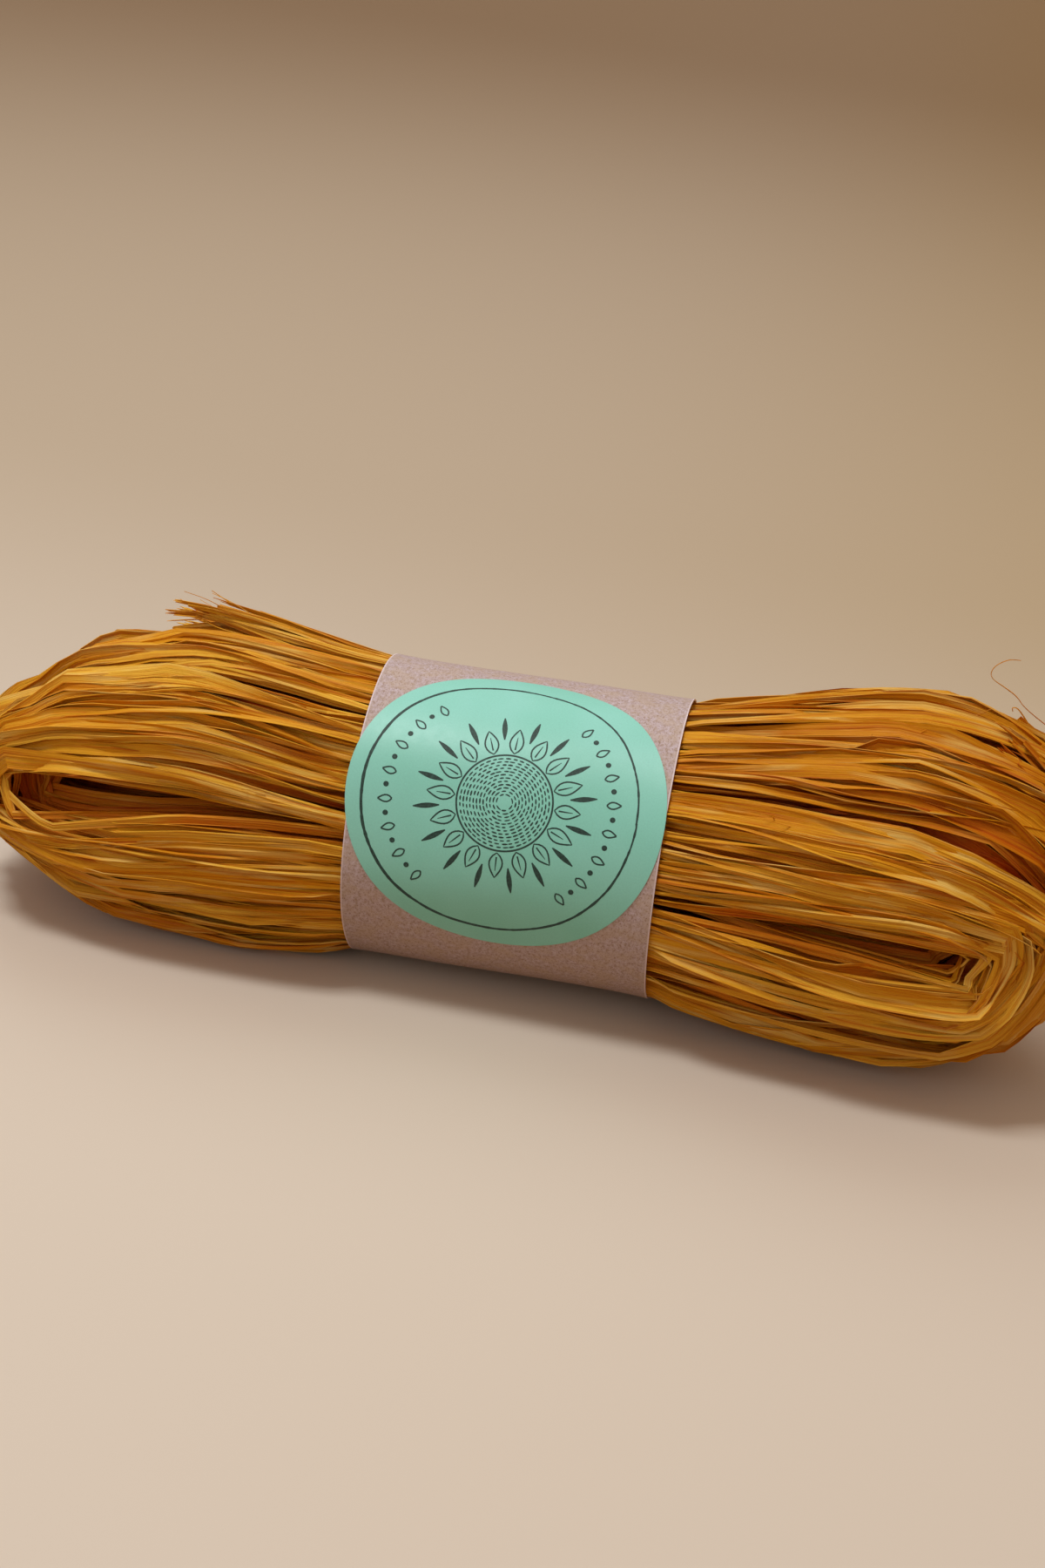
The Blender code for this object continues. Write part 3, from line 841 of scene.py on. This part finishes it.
# Painted highlight: a pale pink line along the band's cut edges, where the paper's thickness catches
# the light.
edge_highlight = rescale(from_middle.outputs[0], *PAINTED_EDGE_HIGHLIGHT)
links.new(mix("MIX", edge_highlight, speckled, (0.78, 0.68, 0.72)), shader.inputs["Base Color"])
shader.inputs["Roughness"].default_value = 0.8
relief(stretched_grain(2.6, 2.1, 5, 0.65), 0.5, 0.06 * MM)
band.data.materials.append(kraft)
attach(band, "root")
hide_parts("paper_band")

# --- The round label --------------------------------------------------------------------------
# A round sticker of satin mint paper is stuck on the band, above the middle of the near side.
# Its print is dark ink: a hand-drawn ring round a stitched rosette of leaves.

LABEL_RADIUS = 30 * MM
LABEL_X, LABEL_UP = -0.41 * MM, 15.92 * MM        # its middle, from the band's, along and round it
LABEL_PAPER, LABEL_GLUE = 0.14 * MM, 0.04 * MM


def stick_on(points, lift):
    """Points of the flat label, laid round the band at a lift above it."""
    angle = np.interp(LABEL_UP + points[..., 1], np.concatenate([-girth[::-1], girth]),
                      np.concatenate([-turning[::-1], turning]))
    return round_band(LABEL_X + points[..., 0], angle, lift)


# A grid closed into a disc.  Spin would make the same disc, with its faces in another order each time.
bm = bmesh.new()
bmesh.ops.create_grid(bm, x_segments=24, y_segments=120, size=1)
for vertex in bm.verts:
    radius, turn = LABEL_RADIUS * (vertex.co.x + 1) / 2, math.pi * (vertex.co.y + 1)
    vertex.co = (radius * math.cos(turn), radius * math.sin(turn), 0)
bmesh.ops.remove_doubles(bm, verts=bm.verts[:], dist=0.001 * MM)
bmesh.ops.recalc_face_normals(bm, faces=bm.faces[:])
mesh = flat_mesh("flat_round_label", bm)
flat = flat_points(mesh)
lay_out(mesh, stick_on(flat, LABEL_GLUE + LABEL_PAPER / 2), flat[:, :2])
sticker = thicken("round_label_sticker", mesh, LABEL_PAPER, math.radians(30))

mint, nodes, links, shader = new_material("satin_mint_paper")
tone = ramp(stretched_grain(0.05, 0.05, 2),
            [(0.35, (0.232, 0.64, 0.53)), (0.65, (0.26, 0.67, 0.575))])
mottle = ramp(stretched_grain(3.0, 3.0, 4, 0.7),
              [(0.3, (0.95, 0.95, 0.95)), (0.7, (1.03, 1.03, 1.03))])
links.new(mix("MULTIPLY", 1.0, tone, mottle), shader.inputs["Base Color"])
links.new(rescale(stretched_grain(0.6, 0.6, 4, 0.6), 0, 1, 0.38, 0.52), shader.inputs["Roughness"])
shader.inputs["Specular IOR Level"].default_value = 0.55
relief(stretched_grain(1.6, 1.6, 5, 0.6), 0.3, 0.04 * MM)
sticker.data.materials.append(mint)
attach(sticker, "root")
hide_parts("round_label")

# The print, in the label's own millimetres.
INK_THICKNESS = 0.02 * MM
INK_LIFT = LABEL_GLUE + LABEL_PAPER + INK_THICKNESS / 2
RING_RADIUS, RING_WIDTH = 25.87, 0.48
RING_MIDDLE = np.array([-1.1, -0.03])
STITCH, STITCH_ROW, STITCH_LINE = 1.25, 0.62, np.array([0.16, 0.30, 0.28, 0.14])
HOOP_RADIUS, HOOP_WIDTH = 9.0, 0.34
LEAVES, LEAF_ROOT, LEAF_WIDTH = 16, 9.4, 2.5
LEAF_LINE, VEIN_LINE = np.array([0.2] + [0.3] * 7 + [0.15]), [0.3, 0.24, 0.1]
SPIKE_ROOT, SPIKE_LENGTH, SPIKE_WIDTH = 12.2, 5.0, 0.95
BORDER_RADIUS, BORDER_STEP, BORDER_LINE = 21.4, 0.125, 0.3
BORDER_LEAF_LENGTH, BORDER_LEAF_WIDTH = 2.7, 1.3
DOT_RADIUS, DOT_LINE = 0.28, 0.5
strokes = []


def around_middle(radius, turn):
    """Points at a radius and an angle from the middle of the rosette."""
    return radius * np.stack([np.cos(turn), np.sin(turn)], -1)


def draw(points, width, closed=False):
    """Keep one pen stroke of the print: a line, and its width."""
    points = np.asarray(points, float)
    if closed:
        along = np.roll(points, -1, 0) - np.roll(points, 1, 0)
        points, along = np.vstack([points, points[:1]]), np.vstack([along, along[:1]])
    else:
        along = np.gradient(points, axis=0)
    across = np.stack([-along[:, 1], along[:, 0]], -1)
    across /= np.linalg.norm(across, axis=1, keepdims=True) + 1e-9
    half = np.broadcast_to(np.asarray(width) / 2, len(points))[:, None]
    strokes.append(np.stack([points - across * half, points + across * half], 1))


def draw_leaf(root, tip, width, line, count=9):
    """Both sides of a leaf shape from root to tip."""
    share = np.linspace(0, 1, count)[:, None]
    along = tip - root
    across = np.array([-along[1], along[0]]) / np.linalg.norm(along)
    bulge = np.sin(np.pi * share ** 0.8) * width / 2
    draw(root + along * share + across * bulge, line)
    draw(root + along * share - across * bulge, line)


around = np.linspace(0, 2 * np.pi, 241)[:-1]
shake = drift(1, 240, (20, 47, 9), (0.05, 0.05, 0.02))[0] * 0.6
swelling = 0.11 * np.sin(np.append(around, 0) - 2.2) + 0.05 * rng.normal(0, 1, 241)
draw(RING_MIDDLE + around_middle((RING_RADIUS + shake)[:, None], around), RING_WIDTH + swelling,
     closed=True)
for row, radius in enumerate(np.arange(1.5, 8.6, STITCH_ROW)):
    count = int(2 * np.pi * radius / STITCH)
    for number in range(count):
        begin = 2 * np.pi * (number + 0.5 * (row % 2) + rng.uniform(-0.08, 0.08)) / count
        arc = begin + np.linspace(0, 2 * np.pi * rng.uniform(0.55, 0.85) / count, 4)
        draw(around_middle(radius, arc), STITCH_LINE * rng.uniform(0.85, 1.15))
draw(around_middle(HOOP_RADIUS, np.linspace(0, 2 * np.pi, 97)[:-1]), HOOP_WIDTH, closed=True)
for number in range(LEAVES):
    turn = 2 * np.pi * number / LEAVES + rng.normal(0, 0.006)
    unit = around_middle(1, turn)
    draw_leaf(unit * LEAF_ROOT, unit * rng.uniform(14.2, 14.8), LEAF_WIDTH, LEAF_LINE)
    draw([unit * 10.2, unit * 11.6, unit * 12.9], VEIN_LINE)
    unit = around_middle(1, turn + np.pi / LEAVES)
    share = np.linspace(0, 1, 7)
    draw(unit * (SPIKE_ROOT + SPIKE_LENGTH * share[:, None]),
         SPIKE_WIDTH * np.sin(np.pi * np.clip(share, 0.04, 0.97)) ** 0.8 + 0.05)
for side in (0, math.pi):
    for number in range(-7, 8):
        unit = around_middle(1, side + number * BORDER_STEP)
        middle = RING_MIDDLE + BORDER_RADIUS * unit
        if number % 2:
            half_leaf = unit * BORDER_LEAF_LENGTH / 2
            draw_leaf(middle - half_leaf, middle + half_leaf, BORDER_LEAF_WIDTH, BORDER_LINE, 7)
        else:
            draw(middle + around_middle(DOT_RADIUS, np.linspace(0, 2 * np.pi, 11)[:-1]), DOT_LINE,
                 closed=True)

bm = bmesh.new()
for stroke in strokes:
    bmesh.ops.create_grid(bm, x_segments=1, y_segments=len(stroke) - 1, size=1)
mesh = flat_mesh("flat_label_print", bm)
drawn = np.concatenate([stroke.reshape(-1, 2) for stroke in strokes]) * MM
lay_out(mesh, stick_on(drawn, INK_LIFT), drawn)
printing = thicken("label_print", mesh, INK_THICKNESS, math.radians(30))

ink, nodes, links, shader = new_material("dark_green_ink")
blotch = nodes.new("ShaderNodeTexNoise")
blotch.inputs["Scale"].default_value = 2500
place_at = nodes.new("ShaderNodeTexCoord")
links.new(place_at.outputs["Object"], blotch.inputs["Vector"])
links.new(ramp(blotch.outputs["Fac"], [(0.4, (0.006, 0.030, 0.024)), (0.7, (0.02, 0.07, 0.055))]),
          shader.inputs["Base Color"])
shader.inputs["Roughness"].default_value = 0.6
printing.data.materials.append(ink)
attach(printing, "root")

# --- Floor, light and camera ------------------------------------------------------------------
# The hank lies on a wide sheet of pale paper that curves up behind it.  Daylight falls on it from
# a small window high on the left, from the sky at the front left, and softly from above, behind it.

FLOOR_FRONT, FLOOR_BACK, FLOOR_HALF_WIDTH = -1.6, 1.5, 3.5
FLOOR_LENGTH, FLOOR_CURVE = 5.2, 0.9

bm = bmesh.new()
bmesh.ops.create_grid(bm, x_segments=1, y_segments=60, size=1)
for vertex in bm.verts:
    run = (vertex.co.y + 1) / 2 * FLOOR_LENGTH + FLOOR_FRONT
    bend = min(max(run - FLOOR_BACK, 0) / FLOOR_CURVE, math.pi / 2)
    rise = max(run - FLOOR_BACK - FLOOR_CURVE * math.pi / 2, 0)
    vertex.co = (vertex.co.x * FLOOR_HALF_WIDTH,
                 min(run, FLOOR_BACK) + FLOOR_CURVE * math.sin(bend),
                 FLOOR_CURVE * (1 - math.cos(bend)) + rise)
mesh = flat_mesh("studio_floor", bm)
mesh.shade_smooth()
floor = bpy.data.objects.new("studio_floor", mesh)
bpy.context.scene.collection.objects.link(floor)

paint, nodes, links, shader = new_material("pale_paper_floor")
place_at = nodes.new("ShaderNodeTexCoord")
separate = nodes.new("ShaderNodeSeparateXYZ")
links.new(place_at.outputs["Object"], separate.inputs[0])
# Painted shade: the floor and its curve get darker and browner away from the hank, and more so to the
# right, as the light falls off.
away = rescale(separate.outputs["Y"], -0.06, 0.30, kind="SMOOTHSTEP")
to_right = rescale(separate.outputs["X"], -0.10, 0.28, kind="SMOOTHSTEP")
painted_far_shade = mix("MIX", to_right, (0.505, 0.413, 0.307), (0.485, 0.365, 0.208))
seen_floor = mix("MIX", away, (0.660, 0.578, 0.488), painted_far_shade)
# The floor looks pale, but the light that it sends back on to the hank is brown.
ray = nodes.new("ShaderNodeLightPath")
seen = ray.outputs["Is Camera Ray"]
for kind in ("Is Glossy Ray", "Is Transmission Ray"):
    either = nodes.new("ShaderNodeMath")
    either.operation = "ADD"
    either.use_clamp = True
    links.new(seen, either.inputs[0])
    links.new(ray.outputs[kind], either.inputs[1])
    seen = either.outputs[0]
links.new(mix("MIX", seen, (0.37, 0.22, 0.11), seen_floor), shader.inputs["Base Color"])
shader.inputs["Roughness"].default_value = 0.9
floor.data.materials.append(paint)

world = bpy.data.worlds.new("studio")
world.use_nodes = True
world.node_tree.nodes["Background"].inputs["Color"].default_value = (1, 0.74, 0.54, 1)
world.node_tree.nodes["Background"].inputs["Strength"].default_value = 0.50
bpy.context.scene.world = world


def area_lamp(name, place, size, power, colour):
    """A square lamp that points at the hank."""
    lamp = bpy.data.lights.new(name, "AREA")
    lamp.size = size
    lamp.energy = power
    lamp.color = colour
    lamp_object = bpy.data.objects.new(name, lamp)
    lamp_object.location = place
    lamp_object.rotation_euler = (-Vector(place)).to_track_quat("-Z", "Y").to_euler()
    bpy.context.scene.collection.objects.link(lamp_object)


area_lamp("window", (-0.36, -0.22, 1.1), 0.25, 6.3, (0.955, 0.99, 1.0))
area_lamp("sky fill", (-0.50, -0.72, 0.42), 0.5, 0.85, (0.45, 0.74, 1.0))
area_lamp("ceiling", (-0.25, 0.55, 0.85), 0.7, 2.4, (0.80, 0.92, 1.0))

CAMERA_DISTANCE = 0.460
AZIMUTH, ELEVATION, ROLL = math.radians(8.5), math.radians(25), math.radians(5.616)

camera = bpy.data.cameras.new("camera")
camera.sensor_width = 36
camera.lens = 53.8
camera.shift_x = -0.000739
camera.shift_y = 0.026444
camera.clip_start = 0.01
back = Vector((math.sin(AZIMUTH) * math.cos(ELEVATION), -math.cos(AZIMUTH) * math.cos(ELEVATION),
               math.sin(ELEVATION)))
right = Vector((math.cos(AZIMUTH), math.sin(AZIMUTH), 0))
up = back.cross(right)
rolled_right = math.cos(ROLL) * right + math.sin(ROLL) * up
rolled_up = -math.sin(ROLL) * right + math.cos(ROLL) * up
turned = Matrix((rolled_right, rolled_up, back)).transposed().to_4x4()
eye = bpy.data.objects.new("camera", camera)
eye.matrix_world = (Matrix.Translation(Vector(BAND_MIDDLE)) @ Matrix.Rotation(-PITCH, 4, "Y")
                    @ Matrix.Translation(back * CAMERA_DISTANCE) @ turned)
bpy.context.scene.collection.objects.link(eye)
bpy.context.scene.camera = eye
bpy.context.scene.view_settings.view_transform = "Standard"
